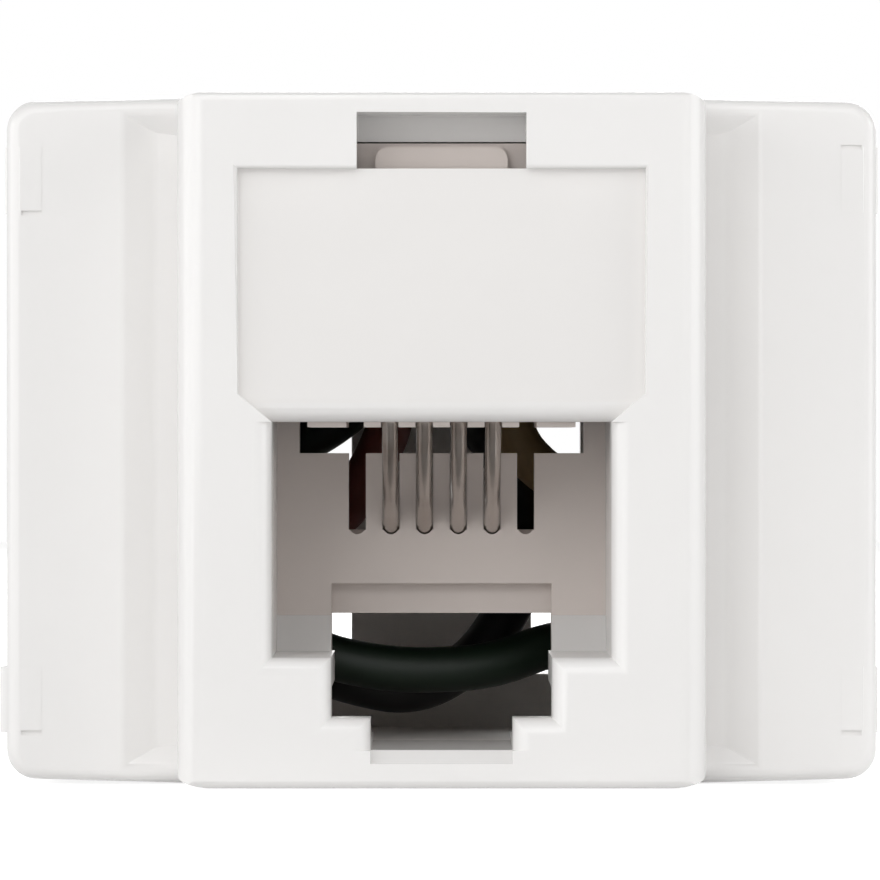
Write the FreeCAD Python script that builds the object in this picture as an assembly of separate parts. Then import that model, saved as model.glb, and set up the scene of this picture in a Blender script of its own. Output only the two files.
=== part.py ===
import FreeCAD, Part
import math
import os
from FreeCAD import Vector

# Snap-in telephone outlet module: a jack for a six-position plug with four contact wires.
# Millimetres. X is the viewer's right, Y goes back into the wall, Z is up.
# The origin is the centre of the module's outline, in the plane of the wings' front faces.

# How far a cutting shape runs past the piece that it cuts
OVERRUN = 1.0

# Driving sizes of the jack port, seen from the front
PORT_WIDTH = 9.94
PORT_HEIGHT = 6.9
LATCH_WIDTH = 6.46
LATCH_DROP = 1.76
TAB_WIDTH = 4.16
TAB_DROP = 0.96
TAB_MARGIN = 1.11
PORT_ROUND = 0.55
CAVITY_DEPTH = 9.0
TAB_RELIEF_HEIGHT = 0.38
TAB_RELIEF_DEPTH = 0.6
TAB_RELIEF_EDGE = 0.2

# Driving sizes of the front cover
BLOCK_WIDTH = 15.5
BLOCK_HEIGHT = 20.4
BLOCK_RISE = 3.4
BLOCK_SIDE_ROUND = 0.8
BLOCK_TOP_ROUND = 0.3
BLOCK_BOTTOM_ROUND = 0.45
CORNER_RUN = 1.05
CORNER_DROP = 0.4
FACE_WALL = 1.8
SIDE_WALL = 1.2
END_WALL = 1.4
SPAN = 25.8
WING_STEP = 0.03
WING_OVERLAP = 0.9
WING_TAPER = 0.14
WING_CORNER = 0.88
WING_ROUND = 0.4
WING_FLOOR = 2.0
COVER_DEPTH = 5.5
CHANNEL_WIDTH = 1.7
CHANNEL_DEPTH = 0.5
CHANNEL_SLOPE = 24.0
CHANNEL_FALL = 6.0
CREST_ROUND = 0.6
FOOT_ROUND = 0.8
CREST_PROUD = 0.002
CHANNEL_END = 0.5
CHANNEL_END_SLOPE = 38.0
CHANNEL_END_ROUND = 0.5
TUNNEL_WALL = 0.9
TUNNEL_RISE = 1.4

# Label recess and the window above it
RECESS_WIDTH = 11.94
RECESS_DEPTH = 0.4
RECESS_MITRE = 0.82
RECESS_ROLL = 0.7
WINDOW_WIDTH = 4.97
WINDOW_HEIGHT = 1.64
WINDOW_MARGIN = 0.61
WINDOW_SHALLOW = 1.0
WINDOW_DEEP = 2.6

# Lugs at the ends of the wings
LUG_LENGTH = 1.95
LUG_PLACE = 2.5
LUG_WIDTH = 1.05
LUG_RISE = 0.015
LUG_DEPTH = 3.2
LUG_PROUD = 0.05
SPRUNG_LUG_PROUD = 0.2
SLIT_LENGTH = 0.6
SLIT_WIDTH = 0.14
SLIT_DEPTH = 0.07

# Snaps that hold the rear body in the cover
SNAP_WIDTH = 3.0
SNAP_PLACE = 8.0
SNAP_LENGTH = 1.2
SNAP_SETBACK = 1.3
SNAP_HEIGHT = 0.9
SNAP_TIP = 0.2
SNAP_LAND = 0.3

# Jack insert
FIT = 0.05
NOSE_GAP = 0.1
COMB_THICKNESS = 1.4
COMB_DROP = 0.93
COMB_GAP_WIDTH = 8.6
COMB_GAP_HEIGHT = 1.3
COMB_NOTCH_WIDTH = 6.66
COMB_FOOT = 1.12
COMB_BAND = 0.91
COMB_BAND_DEPTH = 0.6
COMB_SLOT_LENGTH = 2.32
POSITIONS = 6
PITCH = 1.02
SLOT_WIDTH = 0.52
ROOF_WIDTH = 7.9
ROOF_DROP = 0.15
ROOF_THICKNESS = 1.22
UNDER_GROOVE = 0.4
STOP_RISE = 1.07
ARM_WIDTH = 6.2
ARM_THICKNESS = 0.8
ARM_SETBACK = 0.5
HOOK_WIDTH = 3.9
HOOK_REACH = 0.35
HOOK_DROP = 1.2
HOOK_HEIGHT = 0.65
HOOK_CORNER = 0.4

# Contact wires and the splices behind them
WIRE_DIAMETER = 0.48
WIRE_BEND = 0.35
WIRE_SLOPE = 26.4
WIRE_TIP = 0.65
WIRE_TAIL = 1.75
WIRE_SETBACK = 0.2
JOG_START = 0.35
JOG_LENGTH = 1.1
ROW_RISE = 1.75
SPLICE_DIAMETER = 1.5
SPLICE_LENGTH = 2.6
SPLICE_GRIP = 1.3
SPLICE_FIT = 0.02

# Rear body
BODY_DEPTH = 13.1
BODY_WALL = 1.1
BODY_CORNER = 0.9
BODY_EDGE = 0.4
REAR_WALL = 1.4
LIP_LENGTH = 3.2
LIP_WALL = 1.0
LIP_GAP = 8.4
WELL_WIDTH = 4.6
WELL_HEIGHT = 5.4
WELL_DEPTH = 4.0
WELL_X = 7.7
WELL_PLACE = 3.9
WELL_WALL = 1.0
WELL_FLOOR = 1.2
NOTCH_WIDTH = 2.4
NOTCH_DEPTH = 3.1
SLOT_INNER = 2.84
SLOT_OUTER = 4.4
SLOT_HEIGHT = 8.3
SLOT_MARGIN = 2.8

# Terminals
PLATE_WIDTH = 4.3
PLATE_HEIGHT = 5.0
PLATE_THICKNESS = 0.8
COLLAR_DIAMETER = 3.6
COLLAR_LENGTH = 1.5
TAIL_WIDTH = 0.8
TAIL_HEIGHT = 1.3
TAIL_LENGTH = 1.7
WASHER_SIZE = 4.1
WASHER_THICKNESS = 0.7
SCREW_DIAMETER = 2.5
SCREW_LENGTH = 3.1
HEAD_DIAMETER = 4.1
HEAD_HEIGHT = 1.6
HEAD_ROUND = 0.5
DRIVE_WIDTH = 0.6
DRIVE_DEPTH = 0.8
THREAD_FIT = 0.03
HOLE_FIT = 0.15

# Leads
LEAD_DIAMETER = 1.4
LEAD_RUN = 0.9
BEND_SHARE = 0.45
CORE_DIAMETER = 0.5

# Places worked out from the sizes above
FACE = -BLOCK_RISE
WALL_BACK = FACE + FACE_WALL
BLOCK_TOP = BLOCK_HEIGHT / 2
TAB_BOTTOM = -BLOCK_TOP + TAB_MARGIN
LATCH_BOTTOM = TAB_BOTTOM + TAB_DROP
PORT_BOTTOM = LATCH_BOTTOM + LATCH_DROP
PORT_TOP = PORT_BOTTOM + PORT_HEIGHT
RECESS_TOP = BLOCK_TOP - WINDOW_MARGIN - WINDOW_HEIGHT
LUG_CENTRE = BLOCK_TOP - LUG_PLACE
COMB_FRONT = FACE + CAVITY_DEPTH
COMB_BACK = COMB_FRONT + COMB_THICKNESS
COMB_TOP = PORT_TOP - COMB_DROP
COMB_GAP_TOP = COMB_TOP + COMB_GAP_HEIGHT
COMB_BOTTOM = PORT_BOTTOM + COMB_FOOT
COMB_SLOT_BOTTOM = COMB_TOP - COMB_SLOT_LENGTH
HOLLOW_TOP = BLOCK_TOP - END_WALL
ROOF_BOTTOM = PORT_TOP - ROOF_DROP
ROOF_TOP = ROOF_BOTTOM + ROOF_THICKNESS
NOSE = WALL_BACK + NOSE_GAP
TUNNEL_TOP = PORT_TOP + TUNNEL_RISE
TUNNEL_HALF = PORT_WIDTH / 2 + TUNNEL_WALL
RUN_HEIGHT = ROOF_TOP - WIRE_DIAMETER / 2 - FIT
JOG_END = COMB_BACK + JOG_START + JOG_LENGTH
WIRE_REACH = JOG_END + WIRE_TAIL
REAR = COVER_DEPTH + BODY_DEPTH
WELL_BACK = REAR - WELL_DEPTH
WELL_Z = BLOCK_TOP - WELL_PLACE
SLOT_BASE = -BLOCK_TOP + SLOT_MARGIN
SLOT_TOP = SLOT_BASE + SLOT_HEIGHT
LIP_HALF_WIDTH = SPAN / 2 - END_WALL - FIT
LIP_HALF_HEIGHT = HOLLOW_TOP - FIT
SPLICE_START = WIRE_REACH - SPLICE_GRIP
SPLICE_END = SPLICE_START + SPLICE_LENGTH
TAIL_FRONT = WELL_BACK - TAIL_LENGTH
TAIL_X = WELL_X - PLATE_WIDTH / 2 + TAIL_WIDTH / 2
SIDES = (-1, 1)
CORNERS = [(x_side, z_side) for z_side in (1, -1) for x_side in SIDES]


def save(shape, node):
    """Write one piece to its own file."""
    shape.exportStep("parts/" + node + ".step")
    print(node, "solids", len(shape.Solids), "valid", shape.isValid(), "volume", round(shape.Volume, 3))


def block(x, y, z):
    """A box between two limits on each axis."""
    return Part.makeBox(x[1] - x[0], y[1] - y[0], z[1] - z[0], Vector(x[0], y[0], z[0]))


def mirrored_block(side, x, y, z):
    """The same box on the chosen side of the middle plane; x is given as distances from it."""
    low, high = sorted((side * x[0], side * x[1]))
    return block((low, high), y, z)


def front_plate(points, y):
    """A plate whose outline is drawn in the front view as (x, z) points."""
    corners = [Vector(x, y[0], z) for x, z in points]
    outline = Part.makePolygon(corners + corners[:1])
    return Part.Face(outline).extrude(Vector(0, y[1] - y[0], 0))


def side_prism(points, x):
    """A bar along X whose section is drawn as (y, z) points."""
    corners = [Vector(x[0], y, z) for y, z in points]
    outline = Part.makePolygon(corners + corners[:1])
    return Part.Face(outline).extrude(Vector(x[1] - x[0], 0, 0))


def rounded(shape, radius, wanted):
    """Round the straight or curved edges whose middle point passes the test."""
    edges = [edge for edge in shape.Edges if wanted(edge, edge.CenterOfMass)]
    return shape.makeFillet(radius, edges)


def runs_along(edge, axis):
    """True for a straight edge parallel to the axis."""
    if not isinstance(edge.Curve, Part.Line):
        return False
    return abs(edge.Curve.Direction.dot(axis)) > 0.999


def near(value, target):
    return abs(value - target) < 0.01


Y_AXIS = Vector(0, 1, 0)


def slot_places():
    """The comb's places across the jack, from left to right."""
    return [(index - (POSITIONS - 1) / 2) * PITCH for index in range(POSITIONS)]


def contact_places():
    """The four middle places hold a contact wire."""
    return slot_places()[1:-1]


def swept_outline():
    """The block's front outline: straight sides with low elliptical corners."""
    half = BLOCK_WIDTH / 2
    inner = half - CORNER_RUN
    shoulder = BLOCK_TOP - CORNER_DROP
    edges = []
    for x_side in SIDES:
        x = x_side * half
        z = x_side * BLOCK_TOP
        edges.append(Part.makeLine(Vector(x, 0, -shoulder), Vector(x, 0, shoulder)))
        edges.append(Part.makeLine(Vector(-inner, 0, z), Vector(inner, 0, z)))
        for z_side in SIDES:
            centre = Vector(x_side * inner, 0, z_side * shoulder)
            across = centre + Vector(x_side * CORNER_RUN, 0, 0)
            up = centre + Vector(0, 0, z_side * CORNER_DROP)
            edges.append(Part.Ellipse(across, up, centre).toShape(0, math.pi / 2))
    return Part.Wire(Part.__sortEdges__(edges))


def turned_section(low, high, front, back, low_round, high_round):
    """Points and arcs of a bar's section, (across, depth), with its two front corners rounded."""
    def at(across, depth):
        return Vector(across, depth, 0)
    slant = math.sqrt(0.5)
    low_middle = at(low + low_round * (1 - slant), front + low_round * (1 - slant))
    high_middle = at(high - high_round * (1 - slant), front + high_round * (1 - slant))
    return Part.Wire([
        Part.makeLine(at(low, back), at(low, front + low_round)),
        Part.Arc(at(low, front + low_round), low_middle, at(low + low_round, front)).toShape(),
        Part.makeLine(at(low + low_round, front), at(high - high_round, front)),
        Part.Arc(at(high - high_round, front), high_middle, at(high, front + high_round)).toShape(),
        Part.makeLine(at(high, front + high_round), at(high, back)),
        Part.makeLine(at(high, back), at(low, back)),
    ])


def centre_block():
    """The raised block: rounded down its sides, top and bottom, with low swept corners."""
    half = BLOCK_WIDTH / 2
    plan = Part.Face(turned_section(-half, half, FACE, COVER_DEPTH, BLOCK_SIDE_ROUND, BLOCK_SIDE_ROUND))
    plan.translate(Vector(0, 0, -BLOCK_TOP))
    body = plan.extrude(Vector(0, 0, BLOCK_HEIGHT))
    side = Part.Face(turned_section(-BLOCK_TOP, BLOCK_TOP, FACE, COVER_DEPTH,
                                    BLOCK_TOP_ROUND, BLOCK_BOTTOM_ROUND))
    side.rotate(Vector(0, 0, 0), Y_AXIS, 90)
    side.translate(Vector(-half, 0, 0))
    body = body.common(side.extrude(Vector(BLOCK_WIDTH, 0, 0)))
    front = Part.Face(swept_outline())
    front.translate(Vector(0, FACE - OVERRUN, 0))
    return body.common(front.extrude(Vector(0, BLOCK_RISE + COVER_DEPTH + 2 * OVERRUN, 0)))


def wing(side):
    """One wing behind the block, a little lower at its outer end, its inner end sunk in the block."""
    half = SPAN / 2
    flank = BLOCK_WIDTH / 2
    inner = flank - WING_OVERLAP
    tip = BLOCK_TOP - WING_STEP - WING_TAPER
    seat = tip + WING_TAPER * (half - inner) / (half - flank)
    points = [(inner, -seat), (half, -tip), (half, tip), (inner, seat)]
    if side < 0:
        points = [(-x, z) for x, z in reversed(points)]
    plate = front_plate(points, (0, COVER_DEPTH))
    plate = rounded(plate, WING_CORNER, lambda e, c: runs_along(e, Y_AXIS) and near(abs(c.x), half))

    def front_edge(edge, centre):
        return near(centre.y, 0) and near(edge.BoundBox.YLength, 0) and abs(centre.x) > inner + 0.1

    return rounded(plate, WING_ROUND, front_edge)


def channel_section(side):
    """The hollow across the wing: over a soft crest, down a slope, then a floor falling to the block."""
    flank = BLOCK_WIDTH / 2
    crest = flank + CHANNEL_WIDTH
    slope = math.tan(math.radians(CHANNEL_SLOPE))
    fall = math.tan(math.radians(CHANNEL_FALL))
    foot = (slope * crest - CREST_PROUD - CHANNEL_DEPTH - fall * flank) / (slope - fall)
    foot_depth = slope * (crest - foot) - CREST_PROUD
    tangent = CREST_ROUND * math.tan(math.radians(CHANNEL_SLOPE) / 2)
    inner = flank - WING_OVERLAP / 2
    inner_depth = CHANNEL_DEPTH + fall * WING_OVERLAP / 2
    line = [(crest + tangent, -CREST_PROUD), (crest, -CREST_PROUD), (foot, foot_depth), (inner, inner_depth)]
    return closed_section([Vector(side * x, y, 0) for x, y in line], [CREST_ROUND, FOOT_ROUND])


def channel_ends(side):
    """The hollow seen along the wing: it rises softly out of the wing at both ends."""
    end = BLOCK_TOP - WING_STEP - CHANNEL_END
    run = 2 * CHANNEL_DEPTH / math.tan(math.radians(CHANNEL_END_SLOPE))
    tangent = CHANNEL_END_ROUND * math.tan(math.radians(CHANNEL_END_SLOPE) / 2)
    half = [(end + tangent, -CREST_PROUD), (end, -CREST_PROUD), (end - run, 2 * CHANNEL_DEPTH)]
    line = half + [(-z, y) for z, y in reversed(half)]
    return closed_section([Vector(0, y, z) for z, y in line], [CHANNEL_END_ROUND] * (len(line) - 2))


def closed_section(points, radii):
    """A face between a rounded line and a straight one in front of the wings."""
    line = bent_path(points, radii)
    first, last = points[0], points[-1]
    front = Vector(0, -OVERRUN, 0)
    ahead_first = Vector(first.x, 0, first.z) + front
    ahead_last = Vector(last.x, 0, last.z) + front
    closing = [Part.makeLine(last, ahead_last), Part.makeLine(ahead_last, ahead_first),
               Part.makeLine(ahead_first, first)]
    return Part.Face(Part.Wire(line.Edges + closing))


def channel(side):
    """The hollow beside the block, soft at its crest and at both ends."""
    along = channel_section(side)
    along.translate(Vector(0, 0, -BLOCK_TOP))
    across = channel_ends(side)
    across.translate(Vector(side * (BLOCK_WIDTH / 2 - WING_OVERLAP), 0, 0))
    across = across.extrude(Vector(side * SPAN, 0, 0))
    return along.extrude(Vector(0, 0, BLOCK_HEIGHT)).common(across)


def cover_shell():
    """Block and wings as one shell, open to the rear."""
    wings = [wing(side).cut(channel(side)) for side in SIDES]
    shell = centre_block().fuse(wings)
    inner = BLOCK_WIDTH / 2 - SIDE_WALL
    shell = shell.cut(block((-inner, inner), (WALL_BACK, COVER_DEPTH + OVERRUN), (-HOLLOW_TOP, HOLLOW_TOP)))
    inner = SPAN / 2 - END_WALL
    return shell.cut(block((-inner, inner), (WING_FLOOR, COVER_DEPTH + OVERRUN), (-HOLLOW_TOP, HOLLOW_TOP)))


def tunnel():
    """The jack's guide walls, which run back from the face wall to the comb."""
    depth = (WALL_BACK - 0.5, COMB_FRONT)
    floor = PORT_BOTTOM - TUNNEL_WALL
    walls = []
    for side in SIDES:
        walls.append(mirrored_block(side, (PORT_WIDTH / 2, TUNNEL_HALF), depth, (floor, TUNNEL_TOP)))
        walls.append(mirrored_block(side, (LATCH_WIDTH / 2, TUNNEL_HALF), depth, (floor, PORT_BOTTOM)))
        walls.append(stop(side))
    return walls


def stop(side):
    """The sloping foot of the guide walls beside the notch, where the plug's nose ends."""
    points = [(COMB_FRONT, PORT_BOTTOM), (COMB_FRONT, PORT_BOTTOM + STOP_RISE),
              (COMB_FRONT - STOP_RISE, PORT_BOTTOM)]
    return side_prism(points, sorted((side * COMB_NOTCH_WIDTH / 2, side * PORT_WIDTH / 2)))


def port_outline():
    """The stepped opening: plug body, latch and tab, drawn as (x, z) points."""
    right = [
        (PORT_WIDTH / 2, PORT_TOP), (PORT_WIDTH / 2, PORT_BOTTOM), (LATCH_WIDTH / 2, PORT_BOTTOM),
        (LATCH_WIDTH / 2, LATCH_BOTTOM), (TAB_WIDTH / 2, LATCH_BOTTOM), (TAB_WIDTH / 2, TAB_BOTTOM),
    ]
    return right + [(-x, z) for x, z in reversed(right)]


def recess():
    """The label recess: drawn in at its foot, where its floor rolls over into the jack opening."""
    half = RECESS_WIDTH / 2
    floor = FACE + RECESS_DEPTH
    shoulder = PORT_TOP + RECESS_MITRE
    points = [(half, RECESS_TOP), (half, shoulder), (PORT_WIDTH / 2, PORT_TOP)]
    points += [(-x, z) for x, z in reversed(points)]
    outline = front_plate(points, (FACE - OVERRUN, floor + RECESS_ROLL))
    slant = RECESS_ROLL * (1 - math.sqrt(0.5))

    def at(y, z):
        return Vector(-half, y, z)

    section = Part.Wire([
        Part.makeLine(at(FACE - OVERRUN, PORT_TOP), at(FACE - OVERRUN, RECESS_TOP)),
        Part.makeLine(at(FACE - OVERRUN, RECESS_TOP), at(floor, RECESS_TOP)),
        Part.makeLine(at(floor, RECESS_TOP), at(floor, PORT_TOP + RECESS_ROLL)),
        Part.Arc(at(floor, PORT_TOP + RECESS_ROLL), at(floor + slant, PORT_TOP + slant),
                 at(floor + RECESS_ROLL, PORT_TOP)).toShape(),
        Part.makeLine(at(floor + RECESS_ROLL, PORT_TOP), at(FACE - OVERRUN, PORT_TOP)),
    ])
    return Part.Face(section).extrude(Vector(RECESS_WIDTH, 0, 0)).common(outline)


def window():
    """The latch window, with a slanting upper back that runs into the top wall."""
    top = RECESS_TOP + WINDOW_HEIGHT
    points = [
        (FACE - OVERRUN, RECESS_TOP), (FACE - OVERRUN, top), (FACE + WINDOW_SHALLOW, top),
        (FACE + WINDOW_DEEP, HOLLOW_TOP), (FACE + WINDOW_DEEP, RECESS_TOP),
    ]
    return side_prism(points, (-WINDOW_WIDTH / 2, WINDOW_WIDTH / 2))


def tab_relief():
    """The sloping relief under the tab slot."""
    points = [
        (FACE - OVERRUN, TAB_BOTTOM),
        (FACE + TAB_RELIEF_DEPTH, TAB_BOTTOM),
        (FACE + TAB_RELIEF_EDGE, TAB_BOTTOM - TAB_RELIEF_HEIGHT),
        (FACE - OVERRUN, TAB_BOTTOM - TAB_RELIEF_HEIGHT),
    ]
    return side_prism(points, (-TAB_WIDTH / 2, TAB_WIDTH / 2))


def lug(x_side, z_side):
    """A snap lug at a wing's outer end: a low pad on the front and a wedge on the end wall."""
    sprung = x_side < 0 and z_side < 0
    proud = SPRUNG_LUG_PROUD if sprung else LUG_PROUD
    half = SPAN / 2
    low = z_side * LUG_CENTRE - LUG_LENGTH / 2
    high = low + LUG_LENGTH
    points = [
        (half - LUG_WIDTH, -LUG_RISE), (half - WING_ROUND, -LUG_RISE), (half + proud, WING_ROUND),
        (half, LUG_DEPTH), (half - LUG_WIDTH, LUG_DEPTH),
    ]
    corners = [Vector(x_side * x, y, low) for x, y in points]
    return Part.Face(Part.makePolygon(corners + corners[:1])).extrude(Vector(0, 0, high - low))


def lug_slit(x_side, z_side):
    """The slit that frees one end of a lug: the lower end, but the upper end at the upper right."""
    end = 1 if x_side > 0 and z_side > 0 else -1
    middle = z_side * LUG_CENTRE + end * LUG_LENGTH / 2
    start = SPAN / 2 - LUG_WIDTH
    z = (middle - SLIT_WIDTH / 2, middle + SLIT_WIDTH / 2)
    return mirrored_block(x_side, (start, start + SLIT_LENGTH), (-OVERRUN, SLIT_DEPTH), z)


def snap_window(x_side, z_side, gap):
    """The space of a snap in the skirt, at the snap's own size plus a gap all round."""
    y = (COVER_DEPTH - SNAP_SETBACK - SNAP_LENGTH - gap, COVER_DEPTH - SNAP_SETBACK + gap)
    z = sorted((z_side * (HOLLOW_TOP - 0.5), z_side * (BLOCK_TOP + OVERRUN)))
    half = SNAP_WIDTH / 2 + gap
    return mirrored_block(x_side, (SNAP_PLACE - half, SNAP_PLACE + half), y, z)


def front_cover():
    """The visible moulding."""
    cover = cover_shell()
    cover = cover.fuse(tunnel())
    cover = cover.cut(front_plate(port_outline(), (FACE - OVERRUN, WALL_BACK + 0.01)))
    tab = block((-TAB_WIDTH / 2, TAB_WIDTH / 2), (FACE, COVER_DEPTH + OVERRUN), (TAB_BOTTOM, LATCH_BOTTOM))
    cover = cover.cut(tab)
    cover = cover.removeSplitter()

    def opening_edge(edge, centre):
        if not near(centre.y, FACE) or not near(edge.BoundBox.YLength, 0):
            return False
        if centre.z < TAB_BOTTOM + 0.1 or centre.z > PORT_TOP - 0.1:
            return False
        return abs(centre.x) < PORT_WIDTH / 2 + 0.01

    cover = rounded(cover, PORT_ROUND, opening_edge)
    cover = cover.cut([recess(), window(), tab_relief()])
    cover = cover.fuse([lug(*corner) for corner in CORNERS])
    cover = cover.cut([lug_slit(*corner) for corner in CORNERS])
    cover = cover.cut([snap_window(*corner, FIT) for corner in CORNERS])
    return cover.removeSplitter()


def bent_path(points, radii):
    """Straight runs through the points, joined by tangent arcs of the given radii."""
    edges = []
    start = points[0]
    for before, corner, after, radius in zip(points, points[1:], points[2:], radii):
        arrive = (corner - before).normalize()
        leave = (after - corner).normalize()
        turn = arrive.getAngle(leave)
        reach = radius * math.tan(turn / 2)
        first = corner - arrive * reach
        last = corner + leave * reach
        inward = (leave - arrive).normalize()
        middle = corner + inward * (radius / math.cos(turn / 2) - radius)
        if (first - start).Length > 1e-4:
            edges.append(Part.makeLine(start, first))
        edges.append(Part.Arc(first, middle, last).toShape())
        start = last
    edges.append(Part.makeLine(start, points[-1]))
    return Part.Wire(edges)


def tube(path, diameter):
    """A round bar along the path."""
    first = path.Edges[0]
    start = first.valueAt(first.FirstParameter)
    heading = first.tangentAt(first.FirstParameter)
    if path.Edges[0].Orientation == "Reversed":
        start = first.valueAt(first.LastParameter)
        heading = -first.tangentAt(first.LastParameter)
    ring = Part.Wire(Part.makeCircle(diameter / 2, start, heading))
    return path.makePipeShell([ring], True, False)


def contact_path(x, raised):
    """A contact wire's centre line from its tip in the comb, round the nose and back to its splice."""
    slope = math.radians(WIRE_SLOPE)
    half_turn = (math.pi - slope) / 2
    reach = WIRE_BEND * math.tan(half_turn / 2)
    front = NOSE + WIRE_SETBACK + WIRE_DIAMETER / 2
    top = Vector(x, front + WIRE_BEND - reach, RUN_HEIGHT)
    down = Vector(0, -math.cos(half_turn), -math.sin(half_turn))
    low = top + down * (2 * reach)
    tip_y = COMB_FRONT + WIRE_TIP
    tip = Vector(x, tip_y, low.z - (tip_y - low.y) * math.tan(slope))
    points = [tip, low, top]
    if raised:
        points.append(Vector(x, COMB_BACK + JOG_START, RUN_HEIGHT))
        points.append(Vector(x, JOG_END, RUN_HEIGHT + ROW_RISE))
        points.append(Vector(x, WIRE_REACH, RUN_HEIGHT + ROW_RISE))
    else:
        points.append(Vector(x, WIRE_REACH, RUN_HEIGHT))
    return bent_path(points, [WIRE_BEND] * (len(points) - 2))


def groove(x):
    """The open groove for one wire: over the roof, round its nose and back under the roof."""
    span = (x - SLOT_WIDTH / 2, x + SLOT_WIDTH / 2)
    front = NOSE + WIRE_SETBACK + WIRE_DIAMETER / 2
    length = (NOSE - OVERRUN, COMB_BACK + OVERRUN)
    cuts = [tube(contact_path(x, False), SLOT_WIDTH)]
    cuts.append(block(span, length, (RUN_HEIGHT, ROOF_TOP + 0.01)))
    cuts.append(block(span, length, (ROOF_BOTTOM - 0.01, ROOF_BOTTOM + UNDER_GROOVE)))
    cuts.append(block(span, (NOSE - OVERRUN, front), (ROOF_BOTTOM - OVERRUN, ROOF_TOP + 0.01)))
    return cuts


def comb():
    """The wall at the end of the jack, with the gap for the wires, the comb slots and the notch."""
    depth = (COMB_FRONT, COMB_BACK)
    wall = block((-TUNNEL_HALF, TUNNEL_HALF), depth, (PORT_BOTTOM - TUNNEL_WALL, ROOF_TOP))
    through = (COMB_FRONT - OVERRUN, COMB_BACK + OVERRUN)
    notch = COMB_NOTCH_WIDTH / 2
    gap = COMB_GAP_WIDTH / 2
    cuts = [
        block((-notch, notch), through, (PORT_BOTTOM - TUNNEL_WALL - OVERRUN, COMB_BOTTOM)),
        block((-notch, notch), (COMB_FRONT - OVERRUN, COMB_FRONT + COMB_BAND_DEPTH),
              (COMB_BOTTOM, COMB_BOTTOM + COMB_BAND)),
        block((-gap, gap), through, (COMB_TOP, COMB_GAP_TOP)),
    ]
    for x in slot_places():
        span = (x - SLOT_WIDTH / 2, x + SLOT_WIDTH / 2)
        cuts.append(block(span, through, (COMB_SLOT_BOTTOM, COMB_TOP + 0.01)))
    return wall.cut(cuts)


def latch_arm():
    """The wide arm that closes the back of the latch window, with the hook that shows in it."""
    half = ARM_WIDTH / 2
    front = NOSE + ARM_SETBACK
    arm = block((-half, half), (front, front + ARM_THICKNESS), (ROOF_TOP - FIT, HOLLOW_TOP - FIT))
    half = HOOK_WIDTH / 2
    top = RECESS_TOP + FIT + HOOK_HEIGHT
    hook = block((-half, half), (front - HOOK_REACH, front), (RECESS_TOP - HOOK_DROP, top))
    hook = rounded(hook, HOOK_CORNER, lambda e, c: runs_along(e, Y_AXIS) and near(c.z, top))
    return arm.fuse(hook)


def jack_insert():
    """Comb wall, roof and latch arm in one moulding."""
    half = ROOF_WIDTH / 2
    roof = block((-half, half), (NOSE, COMB_BACK), (ROOF_BOTTOM, ROOF_TOP))
    body = comb().fuse([roof, latch_arm()])
    cuts = []
    for x in slot_places():
        cuts += groove(x)
    return body.cut(cuts).removeSplitter()


def splice(x, z):
    """A crimp barrel between a contact wire and its lead."""
    start = Vector(x, SPLICE_START, z)
    barrel = Part.makeCylinder(SPLICE_DIAMETER / 2, SPLICE_LENGTH, start, Y_AXIS)
    bore = Part.makeCylinder(WIRE_DIAMETER / 2 + SPLICE_FIT, SPLICE_LENGTH, start, Y_AXIS)
    return barrel.cut(bore)


def well(x_side, z_side, wall):
    """The space of one terminal well, or its outer wall when a wall is given."""
    x = (WELL_X - WELL_WIDTH / 2 - wall, WELL_X + WELL_WIDTH / 2 + wall)
    middle = z_side * WELL_Z
    z = (middle - WELL_HEIGHT / 2 - wall, middle + WELL_HEIGHT / 2 + wall)
    front = WELL_BACK - (WELL_FLOOR if wall else 0)
    return mirrored_block(x_side, x, (front, REAR + (0 if wall else OVERRUN)), z)


def wire_notch(x_side, z_side):
    """The open notch through the side wall where the installer's wire comes in under the washer."""
    middle = z_side * WELL_Z
    z = (middle - NOTCH_WIDTH / 2, middle + NOTCH_WIDTH / 2)
    return mirrored_block(x_side, (WELL_X, SPAN), (REAR - NOTCH_DEPTH, REAR + OVERRUN), z)


def terminal_axis(x_side, z_side):
    return Vector(x_side * WELL_X, WELL_BACK, z_side * WELL_Z)


def snap(x_side, z_side):
    """A wedge on the lip that clicks into the cover's window."""
    y = COVER_DEPTH - SNAP_SETBACK
    start = y - SNAP_LENGTH
    foot = LIP_HALF_HEIGHT - LIP_WALL / 2
    top = LIP_HALF_HEIGHT + SNAP_HEIGHT
    points = [(start, foot), (start, LIP_HALF_HEIGHT + SNAP_TIP), (y - SNAP_LAND, top), (y, top), (y, foot)]
    points = [(depth, z_side * z) for depth, z in points]
    middle = x_side * SNAP_PLACE
    return side_prism(points, (middle - SNAP_WIDTH / 2, middle + SNAP_WIDTH / 2))


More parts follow.
